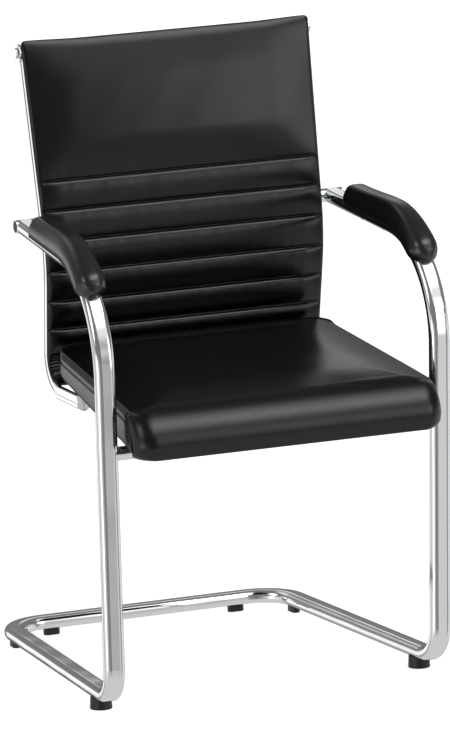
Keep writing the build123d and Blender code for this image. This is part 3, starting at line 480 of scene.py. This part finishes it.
faces = sheet_faces(rows, columns + 1)
ends = [list(range(columns)), [(rows - 1) * (columns + 1) + k for k in range(columns)][::-1]]
for side, name in ((1, "right"), (-1, "left")):
    skin = faces if side > 0 else faces[:, ::-1]
    caps = ends if side > 0 else [end[::-1] for end in ends]
    points = loop.reshape(-1, 3) * np.array([side, 1, 1])
    pad = piece("arm_cushion_" + name, points, skin.tolist() + caps, foam)
    weld = pad.modifiers.new("weld", "WELD")
    weld.merge_threshold = 0.00001
    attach(pad, "root")
    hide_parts("arm_pad_" + name)

# Stage: a white floor that only the camera sees as bright, and a studio painted by direction alone.
# Reflections meet grey walls, darkest ahead and behind and bright at the sides, with softboxes at the front right
# and the left, and weaker ones behind.
FLOOR_HALF, FLOOR_GLOW = 12, 0.78
floor_corners = [(x * FLOOR_HALF, y * FLOOR_HALF, 0) for x, y in ((-1, -1), (1, -1), (1, 1), (-1, 1))]
floor_mesh = bpy.data.meshes.new("floor")
floor_mesh.from_pydata(floor_corners, [], [(0, 1, 2, 3)])
floor = bpy.data.objects.new("floor", floor_mesh)
bpy.context.scene.collection.objects.link(floor)
white, tree, shader, place = material("studio_floor_white", "d0d0d0", 0.9)
seen = add(tree, "LightPath").outputs["Is Camera Ray"]
glow = add(tree, "Math", {"operation": "MULTIPLY"}, in0=seen, in1=FLOOR_GLOW)
shader.inputs["Emission Color"].default_value = (1, 1, 1, 1)
tree.links.new(glow.outputs["Value"], shader.inputs["Emission Strength"])
floor_mesh.materials.append(white)
floor.visible_glossy = False

world = bpy.data.worlds.new("studio")
bpy.context.scene.world = world
world.use_nodes = True
tree = world.node_tree
ray = add(tree, "TexCoord").outputs["Generated"]
part = add(tree, "SeparateXYZ", Vector=ray).outputs
forward = add(tree, "Math", {"operation": "MULTIPLY"}, in0=part["Y"], in1=-1.0)
angle = add(tree, "Math", {"operation": "ARCTAN2"}, in0=part["X"], in1=forward.outputs["Value"])
round_share = add(tree, "MapRange", Value=angle.outputs["Value"], From_Min=-math.pi, From_Max=math.pi)
# Each stretch of wall: bearing from straight ahead in degrees, to the right as seen from the front, and brightness
WALLS = (
    (-180, 0.16), (-163, 0.26), (-148, 0.34), (-128, 0.64), (-100, 0.92), (-72, 0.92), (-50, 0.66),
    (-28, 0.36), (-12, 0.20), (2, 0.26), (14, 0.44), (24, 0.72), (36, 0.78), (44, 0.30), (54, 0.26),
    (66, 0.74), (84, 0.92), (106, 0.88), (130, 0.46), (150, 0.12), (180, 0.16),
)
CEILING, GROUND = 0.22, 0.72
walls = add(tree, "ValToRGB", Fac=round_share.outputs["Result"])
while len(walls.color_ramp.elements) < len(WALLS):
    walls.color_ramp.elements.new(0.5)
for stop, (degrees, value) in zip(walls.color_ramp.elements, WALLS):
    stop.position = (degrees + 180) / 360
    stop.color = (value, value, value, 1)
below = add(tree, "MapRange", Value=part["Z"], From_Min=-0.36, From_Max=-0.62)
above = add(tree, "MapRange", Value=part["Z"], From_Min=0.0, From_Max=0.16)
level = add(tree, "Mix", Factor=below.outputs["Result"], in2=walls.outputs["Color"], in3=GROUND)
level = add(tree, "Mix", Factor=above.outputs["Result"], in2=level.outputs["Result"], in3=CEILING).outputs["Result"]
# Each light: bearing from straight ahead, height, full radius and outer radius in degrees, strength
LIGHTS = (
    (34, 13, 3, 20, 2.3),
    (24, 57, 4, 20, 2.6),
    (56, 57, 4, 18, 2.2),
    (159, 25, 3, 13, 0.8),
    (-159, -8, 3, 17, 1.0),
    (-152, 38, 4, 26, 0.6),
    (-70, -9, 4, 18, 1.4),
    (-80, 30, 4, 22, 2.2),
    (26, 43, 4, 26, 0.8),
)
for bearing, rise, inner, outer, strength in LIGHTS:
    bearing, rise = math.radians(bearing), math.radians(rise)
    way = Vector((math.sin(bearing) * math.cos(rise), -math.cos(bearing) * math.cos(rise), math.sin(rise)))
    facing = add(tree, "VectorMath", {"operation": "DOT_PRODUCT"}, in0=ray, in1=way)
    glow = add(
        tree, "MapRange", {"interpolation_type": "SMOOTHSTEP"}, Value=facing.outputs["Value"],
        From_Min=math.cos(math.radians(outer)), From_Max=math.cos(math.radians(inner)), To_Max=strength,
    )
    level = add(tree, "Math", {"operation": "ADD"}, in0=level, in1=glow.outputs["Result"]).outputs["Value"]
surround = tree.nodes["Background"]
tree.links.new(level, surround.inputs["Color"])
camera_white = add(tree, "Background", Color=(1, 1, 1, 1), Strength=1.0)
seen = add(tree, "LightPath").outputs["Is Camera Ray"]
blend = add(tree, "MixShader", in0=seen, in1=surround.outputs[0], in2=camera_white.outputs[0])
tree.links.new(blend.outputs[0], tree.nodes["World Output"].inputs["Surface"])

# Camera: fitted to the photograph, a long lens from the front left, a little above the arms.
# Focal length and shift are in pixels of the photograph; colours are shown without a tone curve.
AZ, EL, ROLL = math.radians(-20.76), math.radians(10.66), math.radians(-2.34)
AIM, DISTANCE = Vector((0, 0.0755, 0.45)), 9.694
SENSOR = 24.0
PHOTO_HEIGHT, FOCAL, SHIFT_X, SHIFT_Y = 730, 6691, 36.0, -13.5
back_way = Vector((math.sin(AZ) * math.cos(EL), -math.cos(AZ) * math.cos(EL), math.sin(EL)))
right_way = Vector((math.cos(AZ), math.sin(AZ), 0))
up_way = right_way.cross(-back_way)
right_rolled = math.cos(ROLL) * right_way + math.sin(ROLL) * up_way
up_rolled = -math.sin(ROLL) * right_way + math.cos(ROLL) * up_way
eye = AIM + back_way * DISTANCE
lens = bpy.data.cameras.new("camera")
lens.sensor_fit = "VERTICAL"
lens.sensor_height = SENSOR
lens.lens = SENSOR * FOCAL / PHOTO_HEIGHT
lens.shift_x = SHIFT_X / PHOTO_HEIGHT
lens.shift_y = SHIFT_Y / PHOTO_HEIGHT
lens.clip_end = 100
camera = bpy.data.objects.new("camera", lens)
turn = Matrix((right_rolled, up_rolled, back_way)).transposed()
camera.matrix_world = Matrix.Translation(eye) @ turn.to_4x4()
bpy.context.scene.collection.objects.link(camera)
bpy.context.scene.camera = camera
bpy.context.scene.view_settings.view_transform = "Standard"
